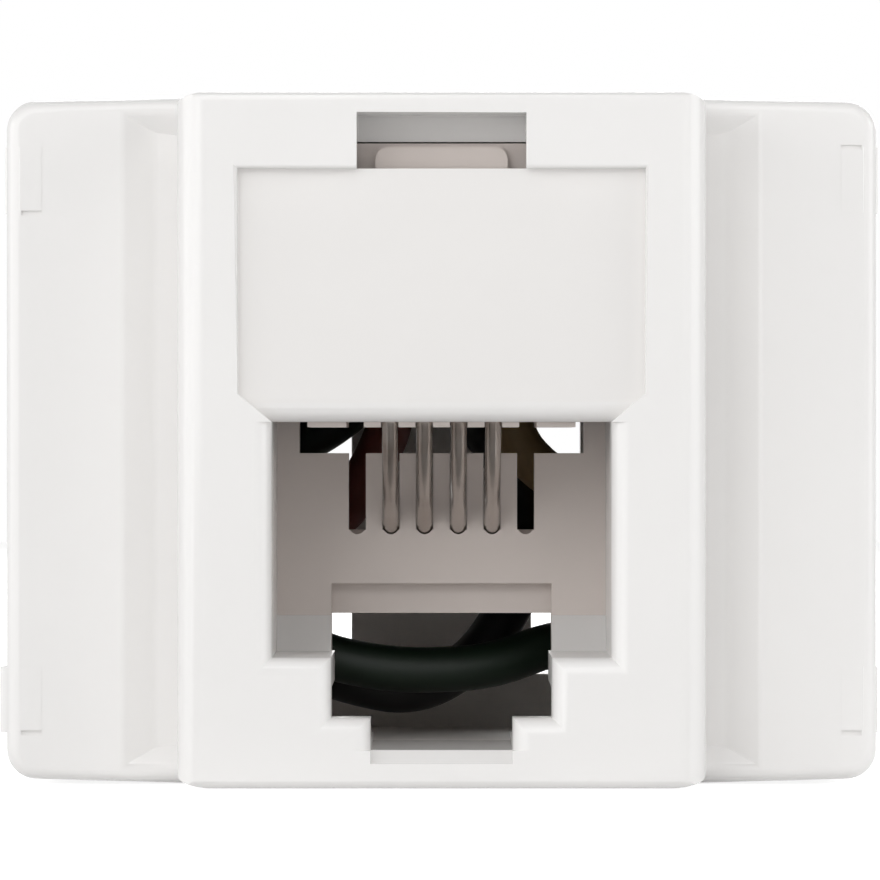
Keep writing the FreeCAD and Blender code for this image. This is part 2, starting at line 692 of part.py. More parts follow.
def rear_body():
    """The rear moulding: lip and snaps, four terminal wells, wire notches and two slots."""
    shell = block((-LIP_HALF_WIDTH, LIP_HALF_WIDTH), (COVER_DEPTH, REAR), (-BLOCK_TOP, BLOCK_TOP))
    shell = rounded(shell, BODY_CORNER, lambda e, c: runs_along(e, Y_AXIS))
    shell = rounded(shell, BODY_EDGE, lambda e, c: near(c.y, REAR) and near(e.BoundBox.YLength, 0))
    lip_start = COVER_DEPTH - LIP_LENGTH
    lip = block((-LIP_HALF_WIDTH, LIP_HALF_WIDTH), (lip_start, COVER_DEPTH),
                (-LIP_HALF_HEIGHT, LIP_HALF_HEIGHT))
    shell = shell.fuse(lip)
    inner = LIP_HALF_WIDTH - BODY_WALL
    inner_top = BLOCK_TOP - BODY_WALL
    hollow_start = COVER_DEPTH + LIP_WALL
    hollow = block((-inner, inner), (hollow_start, REAR - REAR_WALL), (-inner_top, inner_top))
    throat_top = LIP_HALF_HEIGHT - LIP_WALL
    throat = block((-inner, inner), (lip_start - OVERRUN, hollow_start + 0.01), (-throat_top, throat_top))
    gap = block((-LIP_GAP / 2, LIP_GAP / 2), (lip_start - OVERRUN, hollow_start + 0.01), (-inner_top, 0))
    shell = shell.cut([hollow, throat, gap])
    limit = inner_top + BODY_WALL / 2
    limits = block((-LIP_HALF_WIDTH, LIP_HALF_WIDTH), (0, REAR), (-limit, limit))
    walls = [well(*corner, WELL_WALL).common(limits) for corner in CORNERS]
    shell = shell.fuse(walls + [snap(*corner) for corner in CORNERS])
    shell = shell.cut([well(*corner, 0) for corner in CORNERS])
    shell = shell.cut([wire_notch(*corner) for corner in CORNERS])
    cuts = []
    for x_side, z_side in CORNERS:
        axis = terminal_axis(x_side, z_side)
        collar = COLLAR_DIAMETER / 2 + HOLE_FIT
        bore_start = axis - Vector(0, WELL_FLOOR + OVERRUN, 0)
        cuts.append(Part.makeCylinder(collar, WELL_FLOOR + 2 * OVERRUN, bore_start, Y_AXIS))
        cuts.append(tail(x_side, z_side, HOLE_FIT))
    through = (REAR - REAR_WALL - OVERRUN, REAR + OVERRUN)
    for side in SIDES:
        cuts.append(mirrored_block(side, (SLOT_INNER, SLOT_OUTER), through, (SLOT_BASE, SLOT_TOP)))
    return shell.cut(cuts).removeSplitter()


def tail(x_side, z_side, gap):
    """The plate's tail through the well floor, or the slot for it when a gap is given."""
    x = (TAIL_X - TAIL_WIDTH / 2 - gap, TAIL_X + TAIL_WIDTH / 2 + gap)
    middle = z_side * WELL_Z
    z = (middle - TAIL_HEIGHT / 2 - gap, middle + TAIL_HEIGHT / 2 + gap)
    return mirrored_block(x_side, x, (TAIL_FRONT, WELL_BACK + PLATE_THICKNESS / 2), z)


def terminal_plate(x_side, z_side):
    """A brass plate on the well floor, with a tapped collar and a tail."""
    axis = terminal_axis(x_side, z_side)
    x = (WELL_X - PLATE_WIDTH / 2, WELL_X + PLATE_WIDTH / 2)
    z = (axis.z - PLATE_HEIGHT / 2, axis.z + PLATE_HEIGHT / 2)
    plate = mirrored_block(x_side, x, (WELL_BACK, WELL_BACK + PLATE_THICKNESS), z)
    collar_end = axis - Vector(0, COLLAR_LENGTH, 0)
    collar = Part.makeCylinder(COLLAR_DIAMETER / 2, COLLAR_LENGTH, collar_end, Y_AXIS)
    plate = plate.fuse([collar, tail(x_side, z_side, 0)])
    thread = Part.makeCylinder(SCREW_DIAMETER / 2 + THREAD_FIT, REAR, Vector(axis.x, 0, axis.z), Y_AXIS)
    return plate.cut(thread).removeSplitter()


def clamp_washer(x_side, z_side):
    """A square washer that presses the installer's wire on the plate."""
    axis = terminal_axis(x_side, z_side)
    half = WASHER_SIZE / 2
    y = (WELL_BACK + PLATE_THICKNESS, WELL_BACK + PLATE_THICKNESS + WASHER_THICKNESS)
    washer = block((axis.x - half, axis.x + half), y, (axis.z - half, axis.z + half))
    hole = Part.makeCylinder(SCREW_DIAMETER / 2 + HOLE_FIT, REAR, Vector(axis.x, 0, axis.z), Y_AXIS)
    return washer.cut(hole)


def terminal_screw(x_side, z_side):
    """A slotted pan head screw."""
    axis = terminal_axis(x_side, z_side)
    seat = WELL_BACK + PLATE_THICKNESS + WASHER_THICKNESS
    head = Part.makeCylinder(HEAD_DIAMETER / 2, HEAD_HEIGHT, Vector(axis.x, seat, axis.z), Y_AXIS)
    head = rounded(head, HEAD_ROUND, lambda e, c: near(c.y, seat + HEAD_HEIGHT))
    drive = block((axis.x - HEAD_DIAMETER, axis.x + HEAD_DIAMETER),
                  (seat + HEAD_HEIGHT - DRIVE_DEPTH, seat + HEAD_HEIGHT + OVERRUN),
                  (axis.z - DRIVE_WIDTH / 2, axis.z + DRIVE_WIDTH / 2))
    tip = Vector(axis.x, seat - SCREW_LENGTH, axis.z)
    shank = Part.makeCylinder(SCREW_DIAMETER / 2, SCREW_LENGTH, tip, Y_AXIS)
    return head.cut(drive).fuse(shank).removeSplitter()


# Routes of the leads between their straight ends, chosen by hand
ROUTES = {
    "lead_red": [(-1.6, 13.7, 0.4), (-2.2, 14.1, -0.9), (-3.2, 13.4, -2.5), (-4.8, 11.6, -2.8),
                 (-5.6, 10.6, -0.6), (-5.8, 10.8, 4.0)],
    "lead_green": [(-1.5, 14.9, 2.3), (-3.2, 15.4, 0.6), (-5.0, 14.9, -0.4), (-7.0, 12.6, -1.4),
                   (-6.6, 10.0, -4.2), (-4.2, 9.0, -6.5), (-1.5, 9.2, -7.1), (1.5, 9.7, -7.0),
                   (3.6, 10.6, -6.2)],
    "lead_black": [(0.8, 14.9, 0.9), (2.2, 15.6, -0.8), (3.1, 15.0, -2.8), (2.3, 13.3, -5.0),
                   (1.0, 12.3, -6.9), (-0.9, 11.5, -7.9), (-3.2, 11.2, -7.4)],
    "lead_yellow": [(2.1, 13.1, 1.8), (2.2, 13.3, 0.0), (3.6, 13.4, -1.4), (5.8, 12.9, -1.0),
                    (6.9, 11.9, 2.0)],
}
ENDS = {"lead_red": (-1, 1), "lead_green": (1, -1), "lead_black": (-1, -1), "lead_yellow": (1, 1)}


def lead(node, x, z):
    """An insulated lead from its splice to the tail of its terminal plate, its core held in the splice."""
    x_side, z_side = ENDS[node]
    start = Vector(x, SPLICE_END, z)
    end = Vector(x_side * TAIL_X, TAIL_FRONT, z_side * WELL_Z)
    run = Vector(0, LEAD_RUN, 0)
    points = [start, start + run] + [Vector(*point) for point in ROUTES[node]] + [end - run, end]
    radii = []
    for before, corner, after in zip(points, points[1:], points[2:]):
        turn = (corner - before).getAngle(after - corner)
        shorter = min((corner - before).Length, (after - corner).Length)
        radii.append(BEND_SHARE * shorter / math.tan(turn / 2))
    path = bent_path(points, radii)
    body = tube(path, LEAD_DIAMETER)
    section = math.pi * LEAD_DIAMETER ** 2 / 4
    print(node, "length", round(path.Length, 2), "radii", [round(radius, 2) for radius in radii],
          "volume ratio", round(body.Volume / (section * path.Length), 4))
    core = Part.makeCylinder(CORE_DIAMETER / 2, SPLICE_LENGTH - SPLICE_GRIP - FIT, start, -Y_AXIS)
    return body.fuse(core)


os.makedirs("parts", exist_ok=True)
save(front_cover(), "front_cover")
save(jack_insert(), "jack_insert")
save(rear_body(), "rear_body")
for number, (x, node) in enumerate(zip(contact_places(), ROUTES), start=1):
    raised = number % 2 == 0
    height = RUN_HEIGHT + (ROW_RISE if raised else 0)
    save(tube(contact_path(x, raised), WIRE_DIAMETER), "contact_wire_" + str(number))
    save(splice(x, height), "splice_" + str(number))
    save(lead(node, x, height), node)
for number, corner in enumerate(CORNERS, start=1):
    save(terminal_plate(*corner), "terminal_plate_" + str(number))
    save(clamp_washer(*corner), "clamp_washer_" + str(number))
    save(terminal_screw(*corner), "terminal_screw_" + str(number))
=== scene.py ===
import math

import bmesh
import bpy
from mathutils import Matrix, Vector


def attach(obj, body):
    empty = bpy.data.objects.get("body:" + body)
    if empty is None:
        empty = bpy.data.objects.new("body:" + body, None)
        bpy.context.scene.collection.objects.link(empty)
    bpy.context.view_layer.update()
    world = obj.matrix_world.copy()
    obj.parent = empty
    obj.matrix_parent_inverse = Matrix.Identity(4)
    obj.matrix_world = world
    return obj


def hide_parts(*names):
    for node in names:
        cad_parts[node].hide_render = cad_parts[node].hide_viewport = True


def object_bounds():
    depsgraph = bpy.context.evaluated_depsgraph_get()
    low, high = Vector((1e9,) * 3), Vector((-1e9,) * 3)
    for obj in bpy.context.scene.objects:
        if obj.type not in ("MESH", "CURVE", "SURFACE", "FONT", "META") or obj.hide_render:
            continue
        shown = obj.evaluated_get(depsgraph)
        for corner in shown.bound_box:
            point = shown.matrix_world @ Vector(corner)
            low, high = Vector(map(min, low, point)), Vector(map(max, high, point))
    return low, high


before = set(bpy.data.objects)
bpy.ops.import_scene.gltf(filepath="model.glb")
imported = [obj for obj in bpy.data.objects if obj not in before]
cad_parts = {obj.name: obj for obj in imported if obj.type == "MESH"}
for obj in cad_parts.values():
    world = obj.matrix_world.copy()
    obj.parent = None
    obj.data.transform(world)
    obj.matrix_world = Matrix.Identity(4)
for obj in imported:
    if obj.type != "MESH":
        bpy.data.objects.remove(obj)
cad_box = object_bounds()


# Camera.
# A long lens a quarter of a metre in front of the socket's face, level with its middle.
# The socket fills the square picture almost from edge to edge.
CAMERA_PLACE = (-0.000044, -0.2534, 0)
CAMERA_LENS = 349.8
SENSOR_WIDTH = 36
NEAREST_SEEN = 0.01

bpy.ops.object.select_all(action="DESELECT")
bpy.ops.object.camera_add(location=CAMERA_PLACE, rotation=(math.radians(90), 0, 0))
camera = bpy.context.object
camera.name = "front_camera"
camera.data.lens = CAMERA_LENS
camera.data.sensor_width = SENSOR_WIDTH
camera.data.clip_start = NEAREST_SEEN
bpy.context.scene.camera = camera


# Studio light.
# Wide soft boxes: two at the sides rake along the face, a key box, a weak fill box and a high one
# light it from the front, and one behind lights the rear. The world fills in evenly.
BOX_SIZE = 0.34
LIGHT_PLACES = {
    "left_box": ((-0.43, -0.11, 0.05), 0.89),
    "right_box": ((0.43, -0.11, 0.05), 1.06),
    "key_box": ((-0.23, -0.36, 0.06), 0.77),
    "fill_box": ((0.22, -0.36, 0.06), 0.18),
    "high_box": ((0.0, -0.33, 0.28), 0.58),
    "rear_box": ((0.12, 0.40, 0.20), 1.3),
}
AMBIENT = 0.12
BACKDROP_WHITE = 1.0
WHITE = (1, 1, 1, 1)


def soft_box(name, place, power):
    """A square lamp that faces the middle of the socket."""
    bpy.ops.object.light_add(type="AREA", location=place)
    lamp = bpy.context.object
    lamp.name = name
    lamp.data.energy = power
    lamp.data.size = BOX_SIZE
    lamp.rotation_euler = (-Vector(place)).to_track_quat("-Z", "Y").to_euler()


for name, (place, power) in LIGHT_PLACES.items():
    soft_box(name, place, power)


def seen_directly(nodes, links):
    """One where a camera, mirror or glass ray looks straight at the surface, else nothing."""
    path = nodes.new("ShaderNodeLightPath")
    first = nodes.new("ShaderNodeMath")
    first.operation = "MAXIMUM"
    links.new(path.outputs["Is Camera Ray"], first.inputs[0])
    links.new(path.outputs["Is Glossy Ray"], first.inputs[1])
    second = nodes.new("ShaderNodeMath")
    second.operation = "MAXIMUM"
    links.new(first.outputs[0], second.inputs[0])
    links.new(path.outputs["Is Transmission Ray"], second.inputs[1])
    return second.outputs[0]


world = bpy.data.worlds.new("white_studio")
bpy.context.scene.world = world
world.use_nodes = True
nodes = world.node_tree.nodes
links = world.node_tree.links
nodes.clear()
ambient = nodes.new("ShaderNodeBackground")
ambient.inputs["Color"].default_value = WHITE
ambient.inputs["Strength"].default_value = AMBIENT
shown = nodes.new("ShaderNodeBackground")
shown.inputs["Color"].default_value = WHITE
shown.inputs["Strength"].default_value = BACKDROP_WHITE
choice = nodes.new("ShaderNodeMixShader")
links.new(seen_directly(nodes, links), choice.inputs["Fac"])
links.new(ambient.outputs[0], choice.inputs[1])
links.new(shown.outputs[0], choice.inputs[2])
out = nodes.new("ShaderNodeOutputWorld")
links.new(choice.outputs[0], out.inputs["Surface"])
bpy.context.scene.view_settings.view_transform = "Standard"


# Floor.
# A plain white table top under the socket. It glows a little to the camera, so that it runs into
# the white behind it and only the socket's soft shadow shows on it.
FLOOR_SIZE = 1.2
FLOOR_GLOW = 0.8
FLOOR_WHITE = (0.9, 0.9, 0.9, 1)
FLOOR_GAP = 0.00002
FLOOR_CUTS = 3

bpy.ops.mesh.primitive_plane_add(size=FLOOR_SIZE, location=(0, 0, cad_box[0][2] - FLOOR_GAP))
floor = bpy.context.object
floor.name = "table_top"
bpy.ops.object.mode_set(mode="EDIT")
bpy.ops.mesh.subdivide(number_cuts=FLOOR_CUTS)
bpy.ops.object.mode_set(mode="OBJECT")
bpy.ops.object.transform_apply(location=True, rotation=True, scale=True)
paint = bpy.data.materials.new("table_white")
paint.use_nodes = True
nodes = paint.node_tree.nodes
links = paint.node_tree.links
nodes.clear()
matt = nodes.new("ShaderNodeBsdfDiffuse")
matt.inputs["Color"].default_value = FLOOR_WHITE
glow = nodes.new("ShaderNodeEmission")
glow.inputs["Strength"].default_value = FLOOR_GLOW
both = nodes.new("ShaderNodeAddShader")
links.new(matt.outputs[0], both.inputs[0])
links.new(glow.outputs[0], both.inputs[1])
choice = nodes.new("ShaderNodeMixShader")
links.new(seen_directly(nodes, links), choice.inputs["Fac"])
links.new(matt.outputs[0], choice.inputs[1])
links.new(both.outputs[0], choice.inputs[2])
out = nodes.new("ShaderNodeOutputMaterial")
links.new(choice.outputs[0], out.inputs["Surface"])
floor.data.materials.append(paint)


# Front cover.
# The white moulding that shows in the wall plate, of a hard satin plastic with all its outer
# edges slightly broken. It comes from one mould and snaps over the rear body.
COVER_COLOUR = (0.856, 0.844, 0.832, 1)
COVER_ROUGHNESS = 0.24
COVER_CLOUD = 160
COVER_SHADE = 0.985
COVER_BREAK = 0.00006
# Painted shade: the label seat's colour is the cover's plastic made darker, standing in for the shade of the
# shallow recess.
SEAT_PAINTED_SHADE = (0.815, 0.798, 0.782, 1)
LABEL_ROUGHNESS = 0.3
LABEL_SEAT = -0.0030
LABEL_HEIGHTS = (0.001, 0.008)
FACING_FRONT = -0.99
FACE_PLACE = -0.0034
RIM_BOTTOM = 0.0012
RIM_SIDES = (0.0026, 0.0062)
RIM_ROUND = 0.00012
CHANNEL_SIDE = 0.0078
CHANNEL_STRAIGHT = 0.0080
CHANNEL_DEPTHS = (0.00005, 0.0008)
CREASE_ROUND = 0.00025
CREASE_ANGLE = math.radians(8)
FINE_SEGMENTS = 4
WINDOW_FOLD = (-0.0024, 0.00959)
WINDOW_SLANT = 0.0016
TOUCH = 0.00002
WELD = 1e-6
FLAT_ANGLE = math.radians(0.3)
SMOOTH_ANGLE = math.radians(35)
BREAK_ANGLE = math.radians(60)
ROOM = 3


def alone(obj):
    """Make this the only chosen object."""
    bpy.ops.object.select_all(action="DESELECT")
    obj.select_set(True)
    bpy.context.view_layer.objects.active = obj


def loose_copy(node, name):
    """A copy of a CAD piece, of its own and with its triangles still loose."""
    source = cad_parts[node]
    piece = source.copy()
    piece.data = source.data.copy()
    piece.name = name
    piece.data.name = name
    piece.parent = None
    for key in list(piece.keys()):
        del piece[key]
    bpy.context.scene.collection.objects.link(piece)
    return piece


def welded_copy(node, name):
    """A copy of a CAD piece with its triangles joined and its flat faces made whole."""
    piece = loose_copy(node, name)
    alone(piece)
    bpy.ops.object.mode_set(mode="EDIT")
    bpy.ops.mesh.select_all(action="SELECT")
    bpy.ops.mesh.remove_doubles(threshold=WELD)
    bpy.ops.mesh.customdata_custom_splitnormals_clear()
    bpy.ops.mesh.dissolve_limited(angle_limit=FLAT_ANGLE)
    bpy.ops.object.mode_set(mode="OBJECT")
    return piece


def choose_edges(piece, least, wanted, sharpness):
    """In edit mode, select the sharp edges that pass the test and have no tiny edge beside them."""
    mesh = bmesh.from_edit_mesh(piece.data)
    for edge in mesh.edges:
        edge.select = False
    for edge in mesh.edges:
        if len(edge.link_faces) != 2 or edge.calc_face_angle() < sharpness:
            continue
        around = [other for vertex in edge.verts for other in vertex.link_edges]
        if min(other.calc_length() for other in around) < least:
            continue
        if wanted((edge.verts[0].co + edge.verts[1].co) / 2, edge):
            edge.select = True
    bmesh.update_edit_mesh(piece.data)


def any_edge(middle, edge):
    """The test that every edge passes."""
    return True


def broken_edges(piece, width, wanted=any_edge, segments=2, sharpness=BREAK_ANGLE, room=ROOM):
    """Take the sharpness off the chosen edges."""
    alone(piece)
    bpy.ops.object.mode_set(mode="EDIT")
    bpy.ops.mesh.select_mode(type="EDGE")
    bpy.ops.mesh.select_all(action="DESELECT")
    choose_edges(piece, room * width, wanted, sharpness)
    bpy.ops.mesh.bevel(offset=width, segments=segments, affect="EDGES", clamp_overlap=True)
    bpy.ops.object.mode_set(mode="OBJECT")


def smooth_rounds(piece):
    """Smooth shading on the rounds, with the flat faces kept flat."""
    alone(piece)
    bpy.ops.object.shade_smooth_by_angle(angle=SMOOTH_ANGLE)
    bpy.ops.object.modifier_add(type="WEIGHTED_NORMAL")
    normals = piece.modifiers[-1]
    normals.keep_sharp = True
    bpy.ops.object.modifier_apply(modifier=normals.name)


def surface_group(name, inputs):
    """A node group with these inputs, whose outputs are a colour, a roughness and a height."""
    group = bpy.data.node_groups.new(name, "ShaderNodeTree")
    make = group.interface.new_socket
    for socket, kind in inputs.items():
        make(name=socket, in_out="INPUT", socket_type="NodeSocket" + kind)
    make(name="Colour", in_out="OUTPUT", socket_type="NodeSocketColor")
    make(name="Roughness", in_out="OUTPUT", socket_type="NodeSocketFloat")
    make(name="Height", in_out="OUTPUT", socket_type="NodeSocketFloat")
    return group, group.nodes.new("NodeGroupInput"), group.nodes.new("NodeGroupOutput")


def mixed_colour(group, given, result, second, noise, spread_range):
    """Let a noise change the group's colour to its second one, in soft patches."""
    spread = group.nodes.new("ShaderNodeMapRange")
    spread.inputs["From Min"].default_value = spread_range[0]
    spread.inputs["From Max"].default_value = spread_range[1]
    group.links.new(noise.outputs["Fac"], spread.inputs["Value"])
    mix = group.nodes.new("ShaderNodeMix")
    mix.data_type = "RGBA"
    group.links.new(spread.outputs["Result"], mix.inputs["Factor"])
    group.links.new(given.outputs["Colour"], mix.inputs["A"])
    group.links.new(given.outputs[second], mix.inputs["B"])
    group.links.new(mix.outputs["Result"], result.inputs["Colour"])


def varied_roughness(group, given, result, noise, wander_range):
    """Let a noise vary the group's roughness, and give the noise out as its height."""
    wander = group.nodes.new("ShaderNodeMapRange")
    wander.inputs["To Min"].default_value = wander_range[0]
    wander.inputs["To Max"].default_value = wander_range[1]
    group.links.new(noise.outputs["Fac"], wander.inputs["Value"])
    total = group.nodes.new("ShaderNodeMath")
    total.operation = "ADD"
    group.links.new(given.outputs["Roughness"], total.inputs[0])
    group.links.new(wander.outputs["Result"], total.inputs[1])
    group.links.new(total.outputs[0], result.inputs["Roughness"])
    group.links.new(noise.outputs["Fac"], result.inputs["Height"])


CLOUD_DETAIL = 3
CLOUD_RANGE = (0.35, 0.65)
GRAIN_DETAIL = 2
GRAIN_SCALE = 16000
GRAIN_HEIGHT = 0.0000004
GRAIN_WANDER = (-0.02, 0.02)


def moulded_surface():
    """Node group: the faint clouding and fine grain that a mould leaves on plastic."""
    group, given, result = surface_group("moulded_surface", {
        "Colour": "Color", "Shade": "Color", "Roughness": "Float", "Cloud Scale": "Float",
        "Grain Scale": "Float"})
    place = group.nodes.new("ShaderNodeTexCoord")
    cloud = group.nodes.new("ShaderNodeTexNoise")
    cloud.inputs["Detail"].default_value = CLOUD_DETAIL
    group.links.new(place.outputs["Object"], cloud.inputs["Vector"])
    group.links.new(given.outputs["Cloud Scale"], cloud.inputs["Scale"])
    mixed_colour(group, given, result, "Shade", cloud, CLOUD_RANGE)
    grain = group.nodes.new("ShaderNodeTexNoise")
    grain.inputs["Detail"].default_value = GRAIN_DETAIL
    group.links.new(place.outputs["Object"], grain.inputs["Vector"])
    group.links.new(given.outputs["Grain Scale"], grain.inputs["Scale"])
    varied_roughness(group, given, result, grain, GRAIN_WANDER)
    return group


MOULDED = moulded_surface()


def darker(colour, share):
    """The same colour, a little darker."""
    return tuple(part * share for part in colour[:3]) + (1,)


def material_of(name, tree, values, height):
    """A material whose colour, roughness and fine relief come from a node group."""
    material = bpy.data.materials.new(name)
    material.use_nodes = True
    nodes = material.node_tree.nodes
    links = material.node_tree.links
    surface = nodes["Principled BSDF"]
    group = nodes.new("ShaderNodeGroup")
    group.node_tree = tree
    for socket, value in values.items():
        group.inputs[socket].default_value = value
    links.new(group.outputs["Colour"], surface.inputs["Base Color"])
    links.new(group.outputs["Roughness"], surface.inputs["Roughness"])
    bump = nodes.new("ShaderNodeBump")
    bump.inputs["Distance"].default_value = height
    links.new(group.outputs["Height"], bump.inputs["Height"])
    links.new(bump.outputs["Normal"], surface.inputs["Normal"])
    return material


def plastic(name, colour, shade, roughness, cloud_scale):
    """A moulded plastic of one colour, faintly clouded with a darker shade of it."""
    values = {"Colour": colour, "Shade": darker(colour, shade), "Roughness": roughness,
              "Cloud Scale": cloud_scale, "Grain Scale": GRAIN_SCALE}
    return material_of(name, MOULDED, values, GRAIN_HEIGHT)


def dress(piece, node, material):
    """Give a finished piece its material and put it in the place of its CAD node."""
    piece.data.materials.clear()
    piece.data.materials.append(material)
    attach(piece, "root")
    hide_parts(node)


def square_window(piece):
    """Take the top of the latch window straight back to its rear wall."""
    alone(piece)
    bpy.ops.object.mode_set(mode="EDIT")
    bpy.ops.mesh.select_mode(type="VERT")
    bpy.ops.mesh.select_all(action="DESELECT")
    mesh = bmesh.from_edit_mesh(piece.data)
    for vertex in mesh.verts:
        away = (vertex.co.y - WINDOW_FOLD[0], vertex.co.z - WINDOW_FOLD[1])
        vertex.select_set(max(abs(away[0]), abs(away[1])) < TOUCH)
    bmesh.update_edit_mesh(piece.data)
    bpy.ops.transform.translate(value=(0, WINDOW_SLANT, 0))
    bpy.ops.object.mode_set(mode="OBJECT")


def recess_rim(middle, edge):
    """The upper and side edges of the label recess."""
    at_face = abs(middle.y - FACE_PLACE) < TOUCH
    return at_face and middle.z > RIM_BOTTOM and RIM_SIDES[0] < abs(middle.x) < RIM_SIDES[1]


def channel_end(middle, edge):
    """The faint creases where the hollows beside the block rise out of the wings."""
    in_slope = CHANNEL_DEPTHS[0] < middle.y < CHANNEL_DEPTHS[1]
    return in_slope and abs(middle.x) > CHANNEL_SIDE and abs(middle.z) > CHANNEL_STRAIGHT


def on_label_seat(face):
    """The flat floor of the label recess, which gets the painted shade."""
    at_seat = abs(face.center.y - LABEL_SEAT) < TOUCH and face.normal.y < FACING_FRONT
    return at_seat and LABEL_HEIGHTS[0] < face.center.z < LABEL_HEIGHTS[1]


cover = welded_copy("front_cover", "cover_moulding")
square_window(cover)
broken_edges(cover, CREASE_ROUND, channel_end, FINE_SEGMENTS, CREASE_ANGLE)
broken_edges(cover, RIM_ROUND, recess_rim, FINE_SEGMENTS)
broken_edges(cover, COVER_BREAK)
smooth_rounds(cover)
cover_plastic = plastic("cover_plastic", COVER_COLOUR, COVER_SHADE, COVER_ROUGHNESS, COVER_CLOUD)
# The label seat gets the same plastic in a darker colour as painted shade, with its own rougher finish.
label_seat_painted_shade = plastic("label_seat_painted_shade", SEAT_PAINTED_SHADE, COVER_SHADE, LABEL_ROUGHNESS, COVER_CLOUD)
dress(cover, "front_cover", cover_plastic)
cover.data.materials.append(label_seat_painted_shade)
for face in cover.data.polygons:
    if on_label_seat(face):
        face.material_index = 1


# Jack insert.
# A smaller moulding of a warmer white, pushed into the cover from behind, its colour made darker
# and pinker as painted shade of the deep jack. It carries the comb at the end of the jack, the grooved
# roof under the contact wires and the latch arm.
# Painted shade: the insert's own warm white is set darker and pinker, standing in for the shade deep in the
# jack.
INSERT_WHITE_AND_PAINTED_SHADE = (0.72, 0.65, 0.61, 1)
INSERT_BREAK = 0.00003
INSERT_ROUGHNESS = 0.45
INSERT_CLOUD = 300
INSERT_SHADE = 0.97

insert = welded_copy("jack_insert", "insert_moulding")
broken_edges(insert, INSERT_BREAK)
smooth_rounds(insert)
insert_white_and_painted_shade = plastic("insert_white_and_painted_shade", INSERT_WHITE_AND_PAINTED_SHADE, INSERT_SHADE, INSERT_ROUGHNESS, INSERT_CLOUD)
dress(insert, "jack_insert", insert_white_and_painted_shade)


# Contact wires.
# Four round sprung wires of drawn copper alloy with a dull plating. Each is bent over the nose of
# the insert, so that its free leg slants back to a slot of the comb, and its tip is cut and rounded.
WIRE_COLOUR = (0.60, 0.56, 0.53, 1)
WIRE_TARNISH = (0.46, 0.40, 0.36, 1)
WIRE_ROUGHNESS = 0.2
WIRE_LINES = (30000, 1200, 1200)
TIP_ROUND = 0.00009
TIP_SEGMENTS = 3
TARNISH_SCALE = 500
TARNISH_DETAIL = 4
TARNISH_RANGE = (0.42, 0.72)
LINE_DETAIL = 3
LINE_HEIGHT = 0.0000006
LINE_WANDER = (-0.08, 0.14)
NUMBERS = range(1, 5)


def worked_metal():
    """Node group: the fine lines that drawing, rolling or turning leaves, and a patchy tarnish."""
    group, given, result = surface_group("worked_metal", {
        "Colour": "Color", "Tarnish": "Color", "Roughness": "Float", "Lines": "Vector"})
    place = group.nodes.new("ShaderNodeTexCoord")
    stretch = group.nodes.new("ShaderNodeVectorMath")
    stretch.operation = "MULTIPLY"
    group.links.new(place.outputs["Object"], stretch.inputs[0])
    group.links.new(given.outputs["Lines"], stretch.inputs[1])
    lines = group.nodes.new("ShaderNodeTexNoise")
    lines.inputs["Scale"].default_value = 1
    lines.inputs["Detail"].default_value = LINE_DETAIL
    group.links.new(stretch.outputs[0], lines.inputs["Vector"])
    varied_roughness(group, given, result, lines, LINE_WANDER)
    patches = group.nodes.new("ShaderNodeTexNoise")
    patches.inputs["Scale"].default_value = TARNISH_SCALE
    patches.inputs["Detail"].default_value = TARNISH_DETAIL
    group.links.new(place.outputs["Object"], patches.inputs["Vector"])
    mixed_colour(group, given, result, "Tarnish", patches, TARNISH_RANGE)
    return group


WORKED = worked_metal()


def metal(name, colour, tarnish, roughness, lines):
    """A metal with its own colour, tarnish and direction of working."""
    values = {"Colour": colour, "Tarnish": tarnish, "Roughness": roughness, "Lines": lines}
    material = material_of(name, WORKED, values, LINE_HEIGHT)
    material.node_tree.nodes["Principled BSDF"].inputs["Metallic"].default_value = 1
    return material


wire_metal = metal("wire_metal", WIRE_COLOUR, WIRE_TARNISH, WIRE_ROUGHNESS, WIRE_LINES)
for number in NUMBERS:
    node = "contact_wire_" + str(number)
    wire = welded_copy(node, node + "_drawn")
    broken_edges(wire, TIP_ROUND, segments=TIP_SEGMENTS, room=0)
    smooth_rounds(wire)
    dress(wire, node, wire_metal)


# Splices.
# Tinned copper barrels, one on the tail of each contact wire. A tool has pressed two grooves round
# each, one to grip the wire and one to grip the core of its lead.
SPLICE_COLOUR = (0.62, 0.60, 0.57, 1)
SPLICE_TARNISH = (0.44, 0.42, 0.39, 1)
SPLICE_ROUGHNESS = 0.38
SPLICE_LINES = (2500, 12000, 2500)
SPLICE_BREAK = 0.00008
CRIMP_PLACES = (-0.00065, 0.00065)
CRIMP_HALF = 0.00018
CRIMP_SLOPE = 0.00014
CRIMP_SQUEEZE = 0.82
BARREL_SKIN = 0.0007


def choose_vertices(piece, wanted):
    """In edit mode, select the vertices whose place passes the test."""
    bpy.ops.mesh.select_mode(type="VERT")
    bpy.ops.mesh.select_all(action="DESELECT")
    mesh = bmesh.from_edit_mesh(piece.data)
    for vertex in mesh.verts:
        if wanted(vertex.co):
            vertex.select_set(True)
    bmesh.update_edit_mesh(piece.data)


def middle_of(piece):
    """The middle of a piece's box."""
    corners = [Vector(corner) for corner in piece.bound_box]
    return (corners[0] + corners[6]) / 2


def from_axis(place, axis):
    """The distance of a place from a line that runs straight back through the axis point."""
    return math.hypot(place.x - axis.x, place.z - axis.z)


